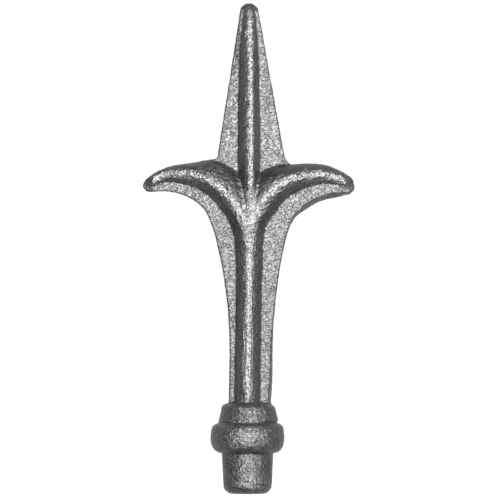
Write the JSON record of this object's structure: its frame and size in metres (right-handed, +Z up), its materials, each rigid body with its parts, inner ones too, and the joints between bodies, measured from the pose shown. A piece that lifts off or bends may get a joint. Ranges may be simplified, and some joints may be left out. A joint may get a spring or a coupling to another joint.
{
  "type": "fence spear point",
  "caption": "Forged iron spear point for the top of a fence bar, with a ribbed spike, side leaves, a turned collar and a round spigot below.",
  "frame": {"origin": "centre of the flat foot of the spigot", "axes": "+Z up along the spear, +X across the leaves to the right seen from the front, -Y towards the viewer"},
  "size_m": [0.0678, 0.0236, 0.157],
  "materials": {
    "forged_iron": "bare grey iron, fine grained as it came from the die and the shot blast"
  },
  "bodies": {
    "root": {"spear_point": "forged_iron"}
  },
  "joints": []
}
